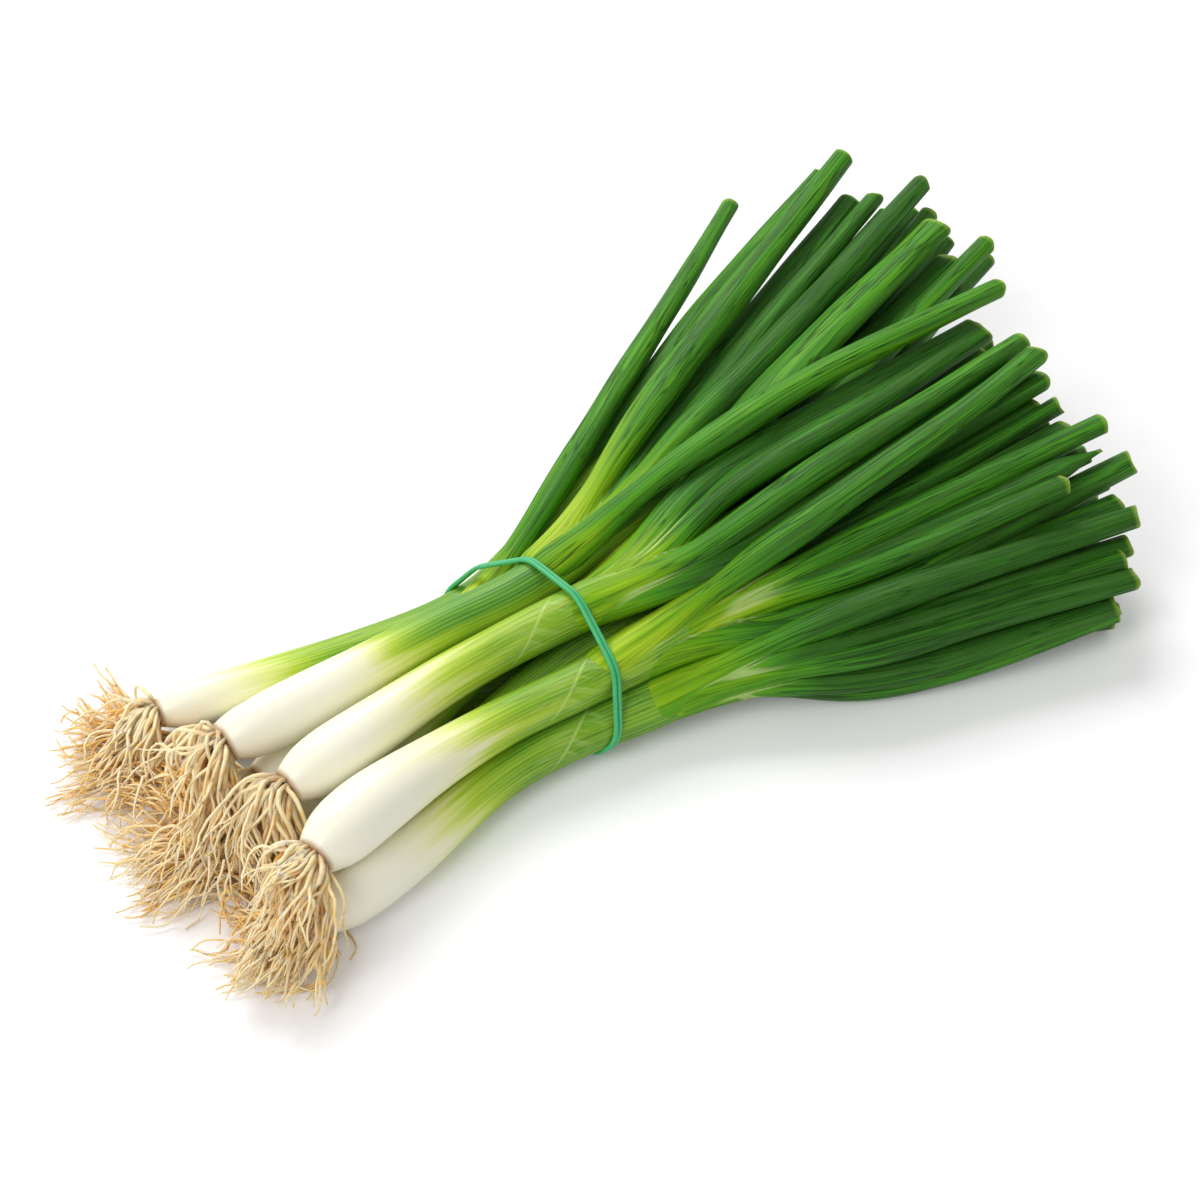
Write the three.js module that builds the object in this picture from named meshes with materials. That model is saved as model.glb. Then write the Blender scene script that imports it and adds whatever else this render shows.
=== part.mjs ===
// A bunch of nine spring onions, trimmed to one length and tied with a doubled rubber band.
//
// Units are millimetres and +Z is up. The bunch lies on the plane z = 0 along X, with its roots
// towards -X and its cut leaves towards +X. Onion 1 is on the -Y side and onion 9 on the +Y side.
// While the bunch is laid out, x = 0 is where the band passes under it. The finished group is then
// shifted so that its origin is the middle of the underside of its bounding box.
//
// Each onion is a stem (bulb and shaft), a tuft of roots and a few tubular leaves. The stems, roots
// and leaves are strands: centrelines with a radius. A short settling pass pushes the strands apart
// where they press on each other, as a tied bunch does, and each strand then becomes a lathed body
// bent along its centreline.
import * as THREE from "three";

// ---- Driving dimensions ----
const AIR = 0.6; // clearance kept between neighbouring strands
const PLATE_RADIUS = 4.9; // the root plate, where the bulb ends
const BULB_RADIUS = 8.6;
const SHAFT_RADIUS = 6.4;
const NECK_RADIUS = 4.6; // the last of the stem, between its leaves
const TUFT_GAP = 1.2; // between the root plate and its tuft
const TUFT_START = 4.2; // a tuft of roots where it leaves the plate
const TUFT_RADIUS = 8.6;
const LEAF_WALL = 1.0;
const MOUTH_DEPTH = 9; // open depth of a leaf at its cut end
const LEAF_BASE_RADIUS = 1.8;
const LEAF_BASE_OFFSET = 3; // from the axis of the stem
const LEAF_SWELL = 55; // length over which a leaf grows to its full radius
const BAND_WIDTH = 2.8; // two turns side by side
const BAND_THICKNESS = 1.3;
const BAND_CLEARANCE = 0.6;
const BAND_X = -1.5; // where it passes under the bunch
const BAND_LEAN = 0.34; // how far the top of the band leans towards the leaves, as a slope
const BAND_SKEW = 0.08; // how far its near side lies towards the leaves, as a slope
const BAND_LIFT = 2.6; // height of the shafts above the surface where the band runs under them

const STEM_STEP = 10; // spacing of the points on a centreline
const LEAF_STEP = 15;
const TUFT_STEP = 8;
const STEM_STATIONS = [0, 2, 6, 12, 20, 30, 42, 56, 72, 90, 108, 124]; // rings, from the root plate
const LEAF_STATIONS = 11;
const TUFT_STATIONS = 6;
const BAND_STATIONS = 64;
const STEM_SIDES = 12;
const LEAF_SIDES = 8;
const TUFT_SIDES = 9;
const BAND_SIDES = 8;

// ---- The nine onions, from the near side to the far side ----
// stem: points from the root plate through the band to the neck, [x, y, z].
// bulb and girth: the bulb and the shaft as shares of BULB_RADIUS and SHAFT_RADIUS.
// roots: where the middle of the tuft ends.
// leaves: from = x where the leaf leaves its stem, via = points on its way, tip = its cut end, r = radius.
const ONIONS = [
  {
    stem: [[-97, -29, 9], [-63, -22, 8], [-24, -17, 8], [2, -20, 9], [42, -30, 14]],
    bulb: 1.0,
    girth: 1.0,
    roots: [-122, -40, 5],
    leaves: [
      { from: 30, via: [[48, -33, 20], [80, -43, 27]], tip: [165, -69, 33], r: 5.2 },
      { from: 34, via: [[50, -39, 16], [94, -55, 19]], tip: [155, -80, 22], r: 5.2 },
      { from: 32, via: [[50, -38, 11], [92, -55, 9]], tip: [152, -76, 5], r: 4.8 },
      { from: 36, via: [[52, -36, 8], [80, -50, 7]], tip: [150, -80, 12], r: 4.2 },
      { from: 40, via: [[100, -52, 20]], tip: [161, -70, 24], r: 4.2 },
    ],
  },
  {
    stem: [[-93, -23, 25], [-59, -16, 24], [-24, -12, 21], [8, -15, 22], [50, -18, 26]],
    bulb: 1.1,
    girth: 1.02,
    roots: [-114, -33, 8],
    leaves: [
      { from: 18, via: [[45, -15, 34], [88, -18, 46], [138, -20, 54]], tip: [168, -19, 59], r: 5.8 },
      { from: 44, via: [[88, -28, 36]], tip: [173, -44, 47], r: 4.9 },
      { from: 42, via: [[86, -36, 31]], tip: [148, -54, 44], r: 4.6 },
      { from: 24, via: [[46, -26, 20], [85, -38, 27]], tip: [176, -54, 37], r: 4.6 },
    ],
  },
  {
    stem: [[-86, -10, 8], [-46, -6, 8], [4, 0, 16], [46, -4, 22]],
    bulb: 0.88,
    girth: 0.84,
    roots: [-124, -18, 5],
    leaves: [
      { from: 36, via: [[80, -14, 28], [120, -23, 36]], tip: [171, -28, 44], r: 4.8 },
      { from: 30, via: [[90, -24, 28]], tip: [169, -24, 36], r: 4.2 },
      { from: 38, via: [[90, -30, 28]], tip: [171, -42, 35], r: 4.3 },
      { from: 26, via: [[80, -30, 16]], tip: [176, -47, 24], r: 3.8 },
    ],
  },
  {
    stem: [[-85, 2, 25], [-63, 3, 27], [-28, 5, 29], [10, 2, 32], [40, -3, 34]],
    bulb: 0.98,
    girth: 1.0,
    roots: [-116, -5, 9],
    leaves: [
      { from: 20, via: [[48, -10, 39], [92, -12, 48]], tip: [172, -10, 56], r: 5.2 },
      { from: 30, via: [[45, 4, 39], [120, 2, 48]], tip: [169, 6, 52], r: 5.8 },
      { from: 36, via: [[84, -4, 38]], tip: [171, 7, 41], r: 4.5 },
      { from: 28, via: [[90, -12, 36]], tip: [170, -21, 50], r: 4.6 },
    ],
  },
  {
    stem: [[-83, 6, 8], [-46, 8, 11], [5, 15, 19], [46, 16, 27]],
    bulb: 0.88,
    girth: 0.84,
    roots: [-126, 2, 5],
    leaves: [
      { from: 28, via: [[62, 14, 35], [105, 30, 41]], tip: [195, 52, 50], r: 6.0 },
      { from: 38, via: [[106, 18, 33]], tip: [208, 41, 45], r: 4.7 },
      { from: 42, via: [[110, 16, 26]], tip: [214, 46, 32], r: 4.4 },
      { from: 34, via: [[100, 8, 28]], tip: [182, 11, 37], r: 4.7 },
    ],
  },
  {
    stem: [[-89, 26, 24], [-53, 23, 27], [-20, 20, 30], [8, 17, 31], [46, 20, 34]],
    bulb: 0.96,
    girth: 1.0,
    roots: [-119, 24, 9],
    leaves: [
      { from: 22, via: [[42, 19, 42], [108, 17, 54]], tip: [180, 9, 60], r: 5.4 },
      { from: 20, via: [[32, 30, 33], [63, 44, 37]], tip: [200, 101, 47], r: 5.3 },
      { from: 34, via: [[80, 32, 39], [107, 39, 42]], tip: [209, 73, 49], r: 4.7 },
      { from: 40, via: [[110, 42, 34]], tip: [210, 77, 34], r: 4.5 },
    ],
  },
  {
    stem: [[-83, 22, 8], [-46, 21, 9], [4, 6, 7], [46, 6, 9]],
    bulb: 0.88,
    girth: 0.84,
    roots: [-127, 24, 5],
    leaves: [
      { from: 38, via: [[110, 28, 18]], tip: [207, 62, 34], r: 4.5 },
      { from: 30, via: [[90, -14, 10]], tip: [174, -46, 17], r: 4.0 },
      { from: 34, via: [[90, -30, 10]], tip: [163, -56, 18], r: 4.3 },
      { from: 40, via: [[110, 0, 6]], tip: [188, -8, 4], r: 4.5 },
    ],
  },
  {
    stem: [[-83, 42, 8], [-46, 33, 9], [5, 26, 17], [46, 37, 24]],
    bulb: 0.88,
    girth: 0.88,
    roots: [-126, 44, 5],
    leaves: [
      { from: -8, via: [[6, 33, 22], [45, 50, 24], [105, 83, 27]], tip: [171, 123, 28], r: 4.4 },
      { from: 40, via: [[89, 43, 32], [130, 59, 36]], tip: [200, 85, 40], r: 4.4 },
      { from: 36, via: [[110, 38, 26]], tip: [208, 67, 40], r: 4.6 },
      { from: 32, via: [[110, 30, 8]], tip: [204, 34, 4], r: 4.4 },
    ],
  },
  {
    stem: [[-91, 61, 8], [-66, 54, 8], [-36, 45, 10], [4, 39, 12], [50, 50, 17]],
    bulb: 0.8,
    girth: 0.86,
    roots: [-125, 64, 5],
    leaves: [
      { from: 34, via: [[82, 68, 24], [140, 91, 28]], tip: [203, 114, 31], r: 4.4 },
      { from: 40, via: [[110, 66, 22]], tip: [193, 96, 24], r: 4.2 },
      { from: 30, via: [[110, 52, 7]], tip: [206, 66, 4], r: 4.4 },
    ],
  },
];

// ---- Colours ----
const stemColour = new THREE.MeshStandardMaterial({ color: 0xdfe6b4, roughness: 0.45, metalness: 0 });
const leafColour = new THREE.MeshStandardMaterial({ color: 0x3f8a35, roughness: 0.5, metalness: 0 });
const rootColour = new THREE.MeshStandardMaterial({ color: 0xdcc188, roughness: 0.85, metalness: 0 });
const bandColour = new THREE.MeshStandardMaterial({ color: 0x3cb36b, roughness: 0.5, metalness: 0 });

// ---- Strands ----
const vector = (p) => new THREE.Vector3(...p);
const smooth = (t) => t * t * (3 - 2 * t);
const ramp = (t) => smooth(Math.min(1, Math.max(0, t)));

// Points along a curve, evenly spaced and close to `step` apart.
function spaced(curve, step) {
  return curve.getSpacedPoints(Math.max(3, Math.round(curve.getLength() / step)));
}

// radius is a function of the distance along the strand and of its whole length.
function strand(name, points, radius) {
  const curve = new THREE.CatmullRomCurve3(points);
  const length = curve.getLength();
  const last = points.length - 1;
  return {
    name,
    radius,
    points,
    home: points.map((p) => p.clone()),
    rest: points[0].distanceTo(points[1]),
    radii: points.map((_, i) => radius((i / last) * length, length)),
    fixed: false,
  };
}

// The root plate, the bulb's belly, the shaft and the taper to the neck.
function stemRadius(bulb, girth) {
  const outline = [
    [0, PLATE_RADIUS, bulb],
    [5, 7.2, bulb],
    [13, BULB_RADIUS, bulb],
    [26, 8.3, bulb],
    [46, 7.1, (bulb + girth) / 2],
    [70, SHAFT_RADIUS, girth],
    [108, SHAFT_RADIUS, girth],
    [126, 5.6, girth],
    [150, NECK_RADIUS, 1],
  ];
  const points = outline.map(([s, r, share]) => new THREE.Vector3(s, r * share, 0));
  const samples = new THREE.CatmullRomCurve3(points).getPoints(160);
  return (s) => {
    const next = samples.findIndex((p) => p.x >= s);
    if (next < 1) return samples[next < 0 ? samples.length - 1 : 0].y;
    const [a, b] = [samples[next - 1], samples[next]];
    return THREE.MathUtils.mapLinear(s, a.x, b.x, a.y, b.y);
  };
}

// A leaf starts as a slip beside the stem, swells to its full radius and narrows a little again.
function leafRadius(r) {
  return (s, length) => {
    const full = THREE.MathUtils.lerp(r, 0.88 * r, s / length);
    return THREE.MathUtils.lerp(LEAF_BASE_RADIUS, full, ramp(s / LEAF_SWELL));
  };
}

// The outer shape of a tuft of roots, which spreads from the plate and ends blunt.
function tuftRadius(s, length) {
  const spread = THREE.MathUtils.lerp(TUFT_START, TUFT_RADIUS, ramp(s / 16));
  return spread - 2.2 * ramp(s / length - 0.2);
}

// ---- Settling ----
// The closest points of two segments, as shares of their lengths.
function closest(p1, q1, p2, q2) {
  const d1 = q1.clone().sub(p1);
  const d2 = q2.clone().sub(p2);
  const between = p1.clone().sub(p2);
  const [a, e, f, c, b] = [d1.dot(d1), d2.dot(d2), d2.dot(between), d1.dot(between), d1.dot(d2)];
  const clamp = (t) => Math.min(1, Math.max(0, t));
  const denominator = a * e - b * b;
  let s = denominator > 1e-9 ? clamp((b * f - c * e) / denominator) : 0.5;
  let t = (b * s + f) / e;
  if (t < 0 || t > 1) {
    t = clamp(t);
    s = clamp((b * t - c) / a);
  }
  return [s, t];
}

// Pushes two strands apart wherever they are closer than their radii and AIR.
function separate(one, two, force) {
  for (let i = 0; i + 1 < one.points.length; i++) {
    const [p1, q1] = [one.points[i], one.points[i + 1]];
    for (let j = 0; j + 1 < two.points.length; j++) {
      const [p2, q2] = [two.points[j], two.points[j + 1]];
      const reach = 2 * BULB_RADIUS + one.rest + two.rest;
      if (Math.abs(p1.x - p2.x) > reach || Math.abs(p1.y - p2.y) > reach) continue;
      const [s, t] = closest(p1, q1, p2, q2);
      const apart = p1.clone().lerp(q1, s).sub(p2.clone().lerp(q2, t));
      const distance = apart.length() || 1e-6;
      const room =
        THREE.MathUtils.lerp(one.radii[i], one.radii[i + 1], s) +
        THREE.MathUtils.lerp(two.radii[j], two.radii[j + 1], t) + AIR;
      if (distance >= room) continue;
      const share = one.fixed || two.fixed ? 1 : 0.5;
      const push = apart.multiplyScalar((force * share * (room - distance)) / distance);
      if (!one.fixed) {
        p1.addScaledVector(push, 1 - s);
        q1.addScaledVector(push, s);
      }
      if (!two.fixed) {
        p2.addScaledVector(push, t - 1);
        q2.addScaledVector(push, -t);
      }
    }
  }
}

// Draws a strand back to the shape that it was laid in.
function relax(item, homing, stiffness) {
  const { points, home } = item;
  const last = points.length - 1;
  points.forEach((p, i) => p.lerp(home[i], i === 0 ? item.hold : homing));
  for (let i = 1; i < last; i++) {
    const bend = home[i].clone().multiplyScalar(2).sub(home[i - 1]).sub(home[i + 1]).multiplyScalar(0.5);
    const middle = points[i - 1].clone().add(points[i + 1]).multiplyScalar(0.5).add(bend);
    points[i].lerp(middle, stiffness);
  }
  for (let i = 0; i < last; i++) {
    const along = points[i + 1].clone().sub(points[i]);
    const excess = (along.length() - item.rest) / along.length() / 2;
    points[i].addScaledVector(along, excess);
    points[i + 1].addScaledVector(along, -excess);
  }
}

// Keeps a strand above the surface, and above the band where the band runs under it.
function lift(item) {
  item.points.forEach((p, i) => {
    const bandRoom = item.lifted ? BAND_LIFT * ramp(1.6 - Math.abs(p.x) / 16) : 0;
    p.z = Math.max(p.z, item.radii[i] + bandRoom);
  });
}

function settle(moving, standing, rounds) {
  moving.forEach((item) => (item.fixed = false));
  standing.forEach((item) => (item.fixed = true));
  for (let round = 0; round < rounds; round++) {
    const ease = 1 - round / rounds;
    moving.forEach((item) => relax(item, 0.03 * ease, 0.5 * ease));
    for (let pass = 0; pass < 2; pass++) {
      moving.forEach((one, i) => {
        moving.slice(i + 1).forEach((two) => separate(one, two, 0.5));
        standing.filter((two) => two !== one.grownOn).forEach((two) => separate(one, two, 0.5));
      });
      moving.forEach(lift);
    }
  }
}

// ---- Laying out the bunch ----
const stems = ONIONS.map((onion, n) => {
  const curve = new THREE.CatmullRomCurve3(onion.stem.map(vector));
  const item = strand(`onion_${n + 1}_stem`, spaced(curve, STEM_STEP), stemRadius(onion.bulb, onion.girth));
  return Object.assign(item, { hold: 0.1, lifted: true });
});
settle(stems, [], 240);

const leaves = ONIONS.flatMap((onion, n) =>
  onion.leaves.map((leaf, k) => {
    const stem = new THREE.CatmullRomCurve3(stems[n].points);
    const track = stem.getSpacedPoints(60);
    const at = Math.min(59, track.findIndex((p) => p.x >= leaf.from));
    const start = track[at < 0 ? 59 : at];
    const ahead = track[at < 0 ? 60 : at + 1].clone().sub(start).normalize();
    const via = leaf.via.map(vector);
    const side = via[0].clone().sub(start);
    side.addScaledVector(ahead, -side.dot(ahead)).setLength(LEAF_BASE_OFFSET);
    const begin = start.clone().add(side);
    const curve = new THREE.CatmullRomCurve3([begin, ...via, vector(leaf.tip)], false, "centripetal");
    const item = strand(`onion_${n + 1}_leaf_${k + 1}`, spaced(curve, LEAF_STEP), leafRadius(leaf.r));
    return Object.assign(item, { hold: 0.25, lifted: true });
  }),
);
settle(leaves, stems, 260);

const tufts = ONIONS.map((onion, n) => {
  const plate = stems[n].points[0];
  const back = new THREE.CatmullRomCurve3(stems[n].points).getTangent(0).negate();
  const start = plate.clone().addScaledVector(back, TUFT_GAP);
  const end = vector(onion.roots);
  const reach = start.distanceTo(end);
  const curve = new THREE.CubicBezierCurve3(
    start,
    start.clone().addScaledVector(back, 0.4 * reach),
    end.clone().lerp(start, 0.3).setZ(0.5 * (end.z + start.z)),
    end,
  );
  const item = strand(`onion_${n + 1}_roots`, spaced(curve, TUFT_STEP), tuftRadius);
  return Object.assign(item, { hold: 1, lifted: false, grownOn: stems[n] });
});
settle(tufts, stems, 120);

// ---- Bodies ----
// A lathed body, with its axis bent from a straight line to the strand's centreline.
// outline is a list of [distance along the strand, radius].
function bentLathe(item, outline, sides) {
  const geometry = new THREE.LatheGeometry(outline.map(([s, r]) => new THREE.Vector2(r, s)), sides);
  const curve = new THREE.CatmullRomCurve3(item.points);
  const length = curve.getLength();
  const position = geometry.getAttribute("position");
  const up = new THREE.Vector3(0, 0, 1);
  for (let i = 0; i < position.count; i++) {
    const u = Math.min(1, Math.max(0, position.getY(i) / length));
    const along = curve.getTangentAt(u);
    const across = along.clone().cross(up).normalize();
    const over = across.clone().cross(along);
    const point = curve.getPointAt(u);
    point.addScaledVector(across, position.getX(i)).addScaledVector(over, position.getZ(i));
    position.setXYZ(i, point.x, point.y, point.z);
  }
  geometry.deleteAttribute("normal");
  geometry.deleteAttribute("uv");
  return geometry;
}

const lengthOf = (item) => new THREE.CatmullRomCurve3(item.points).getLength();
const shares = (count) => Array.from({ length: count + 1 }, (_, i) => i / count);

function stemBody(stem) {
  const length = lengthOf(stem);
  const stations = STEM_STATIONS.filter((s) => s < length - 8).concat(length);
  const side = stations.map((s) => [s, stem.radius(s)]);
  return bentLathe(stem, [[0, 0], ...side, [length, 0]], STEM_SIDES);
}

// A leaf is hollow at its cut end and solid below that, where it is closed by its own growth.
function leafBody(leaf) {
  const length = lengthOf(leaf);
  const side = shares(LEAF_STATIONS).map((t) => [t * length, leaf.radius(t * length, length)]);
  const inner = side.at(-1)[1] - LEAF_WALL;
  const mouth = [[length, inner], [length - MOUTH_DEPTH, inner], [length - MOUTH_DEPTH, 0]];
  return bentLathe(leaf, [[0, 0], ...side, ...mouth], LEAF_SIDES);
}

function tuftBody(tuft) {
  const length = lengthOf(tuft);
  const side = shares(TUFT_STATIONS).map((t) => [t * length, tuft.radius(t * length, length)]);
  return bentLathe(tuft, [[0, 0], ...side, [length, 0]], TUFT_SIDES);
}

// ---- The rubber band ----
// The band lies in a leaning plane. Its inside is the outline that is stretched round every strand
// where the strand crosses that plane.
const bandFoot = new THREE.Vector3(BAND_X, 0, 0);
const bandAcross = new THREE.Vector3(-BAND_SKEW, 1, 0).normalize();
const bandAlong = bandAcross.clone().cross(new THREE.Vector3(BAND_LEAN, 0, 1)).normalize();
const bandUp = bandAlong.clone().cross(bandAcross);

// The points of the strands' skins within the width of the band, in the plane of the band.
function bandedSkin() {
  const found = [];
  for (const item of [...stems, ...leaves]) {
    const curve = new THREE.CatmullRomCurve3(item.points);
    const length = curve.getLength();
    for (let s = 0; s <= length; s += 0.8) {
      const centre = curve.getPointAt(s / length).sub(bandFoot);
      if (Math.abs(centre.dot(bandAlong)) > 12) continue;
      const along = curve.getTangentAt(s / length);
      const across = along.clone().cross(bandUp).normalize();
      const over = across.clone().cross(along);
      for (let k = 0; k < 32; k++) {
        const turn = (k / 32) * 2 * Math.PI;
        const r = item.radius(s, length);
        const skin = centre.clone().addScaledVector(across, r * Math.cos(turn));
        skin.addScaledVector(over, r * Math.sin(turn));
        if (Math.abs(skin.dot(bandAlong)) < BAND_WIDTH / 2 + 0.5) {
          found.push(new THREE.Vector2(skin.dot(bandAcross), skin.dot(bandUp)));
        }
      }
    }
  }
  return found;
}

// The outline stretched round a set of points, anticlockwise (Andrew's monotone chain).
function stretchedRound(points) {
  const sorted = [...points].sort((p, q) => p.x - q.x || p.y - q.y);
  const chain = (list) => {
    const kept = [];
    for (const p of list) {
      while (kept.length > 1) {
        const [a, b] = kept.slice(-2);
        if (b.clone().sub(a).cross(p.clone().sub(a)) > 0) break;
        kept.pop();
      }
      kept.push(p);
    }
    return kept.slice(0, -1);
  };
  return [...chain(sorted), ...chain(sorted.reverse())];
}

function bandBody() {
  const hull = stretchedRound(bandedSkin());
  const loop = new THREE.CurvePath();
  hull.forEach((p, i) => loop.add(new THREE.LineCurve(p, hull[(i + 1) % hull.length])));
  const path = loop.getSpacedPoints(BAND_STATIONS);
  const geometry = new THREE.TorusGeometry(1, 0.5, BAND_SIDES, BAND_STATIONS);
  const position = geometry.getAttribute("position");
  const rings = BAND_STATIONS + 1;
  for (let i = 0; i < position.count; i++) {
    const station = i % rings;
    const turn = (Math.floor(i / rings) / BAND_SIDES) * 2 * Math.PI;
    const here = path[station % BAND_STATIONS];
    const before = path[(station + BAND_STATIONS - 1) % BAND_STATIONS];
    const after = path[(station + 1) % BAND_STATIONS];
    const along = after.clone().sub(before).normalize();
    const out = new THREE.Vector2(along.y, -along.x);
    const middle = here.clone().addScaledVector(out, BAND_CLEARANCE + BAND_THICKNESS / 2);
    const flat = middle.addScaledVector(out, (BAND_THICKNESS / 2) * Math.cos(turn));
    const point = bandFoot.clone().addScaledVector(bandAcross, flat.x).addScaledVector(bandUp, flat.y);
    point.addScaledVector(bandAlong, (BAND_WIDTH / 2) * Math.sin(turn));
    position.setXYZ(i, point.x, point.y, point.z);
  }
  geometry.deleteAttribute("normal");
  geometry.deleteAttribute("uv");
  return geometry;
}

// ---- The bunch ----
const laid = new THREE.Group();
const add = (name, geometry, colour) => {
  const mesh = new THREE.Mesh(geometry, colour.clone());
  mesh.name = name;
  laid.add(mesh);
};
stems.forEach((stem) => add(stem.name, stemBody(stem), stemColour));
leaves.forEach((leaf) => add(leaf.name, leafBody(leaf), leafColour));
tufts.forEach((tuft) => add(tuft.name, tuftBody(tuft), rootColour));
add("rubber_band", bandBody(), bandColour);

// The origin is the middle of the underside of the bounding box.
const extent = new THREE.Box3().setFromObject(laid);
const middle = extent.getCenter(new THREE.Vector3());
laid.position.set(-middle.x, -middle.y, -extent.min.z);

const bunch = new THREE.Group();
bunch.add(laid);

export default bunch;
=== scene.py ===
import math

import bpy
import numpy as np
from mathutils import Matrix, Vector


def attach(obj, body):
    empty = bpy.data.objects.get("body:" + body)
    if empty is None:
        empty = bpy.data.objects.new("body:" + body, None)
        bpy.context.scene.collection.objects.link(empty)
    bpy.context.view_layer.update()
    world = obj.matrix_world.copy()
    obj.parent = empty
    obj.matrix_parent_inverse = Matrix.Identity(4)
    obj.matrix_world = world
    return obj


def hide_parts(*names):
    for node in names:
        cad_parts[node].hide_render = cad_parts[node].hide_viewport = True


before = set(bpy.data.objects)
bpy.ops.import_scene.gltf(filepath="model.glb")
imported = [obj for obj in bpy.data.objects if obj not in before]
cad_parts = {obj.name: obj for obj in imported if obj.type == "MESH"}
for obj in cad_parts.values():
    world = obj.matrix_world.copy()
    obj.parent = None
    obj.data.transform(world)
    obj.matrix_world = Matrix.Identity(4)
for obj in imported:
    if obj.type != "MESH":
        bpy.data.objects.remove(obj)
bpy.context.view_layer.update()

# ---- The bulbs and shafts ----
# An onion's stem is a bundle of leaf bases wrapped round each other, swollen and white where it grew
# in the soil and thin and green above it. The skin is smooth and moist, with fine lines along it.
MM = 0.001
ROUNDING = 0.02 * MM  # the most by which equal lengths differ in the frame's meshes
LEAVES_OF = {1: 5, 2: 4, 3: 4, 4: 4, 5: 4, 6: 4, 7: 4, 8: 4, 9: 3}
ONIONS = sorted(LEAVES_OF)
STATION = 1.6 * MM  # spacing of the sections along a stem
STEM_SIDES = 32
PLATE_DEPTH = 1.2 * MM  # the corky plate that the roots grow from, proud of the bulb
SHAFT_END = 30 * MM  # the last, closed leaf base, past the end of the solid
# A real shaft is fuller than its solid, which keeps a gap all round. Some shafts are thicker still
# round the band and past it, where more leaf bases lie in them.
SHAFT_FILL = 0.3 * MM
FILLED_OVER = 60 * MM
THICKER = {1: 1.3 * MM, 2: 1.3 * MM, 4: 0.8 * MM, 8: 1.2 * MM, 9: 1.2 * MM}
THICKER_FROM = 98 * MM
THICKER_OVER = 22 * MM
# Where each shaft turns from white to green: the first and last distance from the root plate, in mm.
GREENING = {1: (20, 76), 2: (23, 76), 3: (18, 56), 4: (22, 72), 5: (18, 56), 6: (30, 76), 7: (18, 56),
            8: (18, 56), 9: (8, 52)}
# The folds that show in three shafts: distance from the root plate to the point, degrees round from
# the top, and length of the fold.
FOLDS = {4: (92 * MM, -22, 18 * MM), 2: (101 * MM, -22, 18 * MM), 1: (100 * MM, -12, 17 * MM)}
# The onion whose outermost leaf is green on top well before the band, and where that starts.
GREEN_TOP = 6
GREEN_TOP_FROM = 38 * MM
GREEN_TOP_OVER = 30 * MM


def linear(colour):
    """An sRGB hex colour as linear red, green, blue and alpha."""
    parts = [int(colour[i:i + 2], 16) / 255 for i in (1, 3, 5)]
    return [c / 12.92 if c < 0.04045 else ((c + 0.055) / 1.055) ** 2.4 for c in parts] + [1.0]


def add_node(tree, kind, links=(), **settings):
    """Adds a node with its settings. links maps sockets to values, to other nodes' outputs, or to
    other nodes, which stand for their first output in use."""
    node = tree.nodes.new(kind)
    for name, value in settings.items():
        setattr(node, name, value)
    for socket, value in dict(links).items():
        if isinstance(value, bpy.types.Node):
            value = next(output for output in value.outputs if output.enabled)
        if isinstance(value, bpy.types.NodeSocket):
            tree.links.new(value, node.inputs[socket])
        else:
            node.inputs[socket].default_value = value
    return node


def ramp(t):
    """A smooth step from 0 to 1."""
    t = np.clip(t, 0.0, 1.0)
    return t * t * (3 - 2 * t)


def rings_of(node, first=min):
    """The rings of corners of a tube in the frame, walked from the middle of its first end cap."""
    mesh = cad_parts[node].data
    corners = [tuple(round(c, 6) for c in v.co) for v in mesh.vertices]
    around = {}
    for polygon in mesh.polygons:
        shared = {corners[i] for i in polygon.vertices}
        for corner in shared:
            around.setdefault(corner, set()).update(shared - {corner})

    def is_cap(corner):
        reach = [math.dist(corner, other) for other in around[corner]]
        middle = np.mean(list(around[corner]), axis=0)
        return max(reach) - min(reach) < ROUNDING and math.dist(middle, corner) < ROUNDING

    walked = [{first(corner for corner in around if is_cap(corner))}]
    seen = set(walked[0])
    while walked[-1]:
        reached = set().union(*(around[corner] for corner in walked[-1])) - seen
        seen |= reached
        walked.append(reached)
    return [np.array(sorted(ring)) for ring in walked if len(ring) > 2]


def spline(knots, values, places):
    """A natural cubic spline through the values at the knots, carried on straight past its ends."""
    knots = np.asarray(knots, float)
    values = np.asarray(values, float).reshape(len(knots), -1)
    gaps = np.diff(knots)
    slopes = np.diff(values, axis=0) / gaps[:, None]
    matrix = np.eye(len(knots))
    bends = np.zeros_like(values)
    for i in range(1, len(knots) - 1):
        matrix[i, i - 1:i + 2] = [gaps[i - 1], 2 * (gaps[i - 1] + gaps[i]), gaps[i]]
        bends[i] = 3 * (slopes[i] - slopes[i - 1])
    bends = np.linalg.solve(matrix, bends)
    places = np.atleast_1d(places).astype(float)
    inside = np.clip(places, knots[0], knots[-1])
    i = np.clip(np.searchsorted(knots, inside) - 1, 0, len(gaps) - 1)
    t = (inside - knots[i])[:, None]
    start = slopes[i] - gaps[i][:, None] * (2 * bends[i] + bends[i + 1]) / 3
    cubic = (bends[i + 1] - bends[i]) / (3 * gaps[i][:, None])
    read = values[i] + t * (start + t * (bends[i] + t * cubic))
    slope_there = start + t * (2 * bends[i] + 3 * t * cubic)
    return read + (places - inside)[:, None] * slope_there


def strand_of(node, first=min, inner_rings=0):
    """A tube in the frame as its centreline and radius at distances along it."""
    rings = rings_of(node, first)
    rings = rings[:len(rings) - inner_rings]
    middles = np.array([ring.mean(0) for ring in rings])
    radii = np.array([np.linalg.norm(ring - ring.mean(0), axis=1).mean() for ring in rings])
    steps = np.linalg.norm(np.diff(middles, axis=0), axis=1)
    return {"at": np.concatenate([[0], np.cumsum(steps)]), "middles": middles, "radii": radii}


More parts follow.
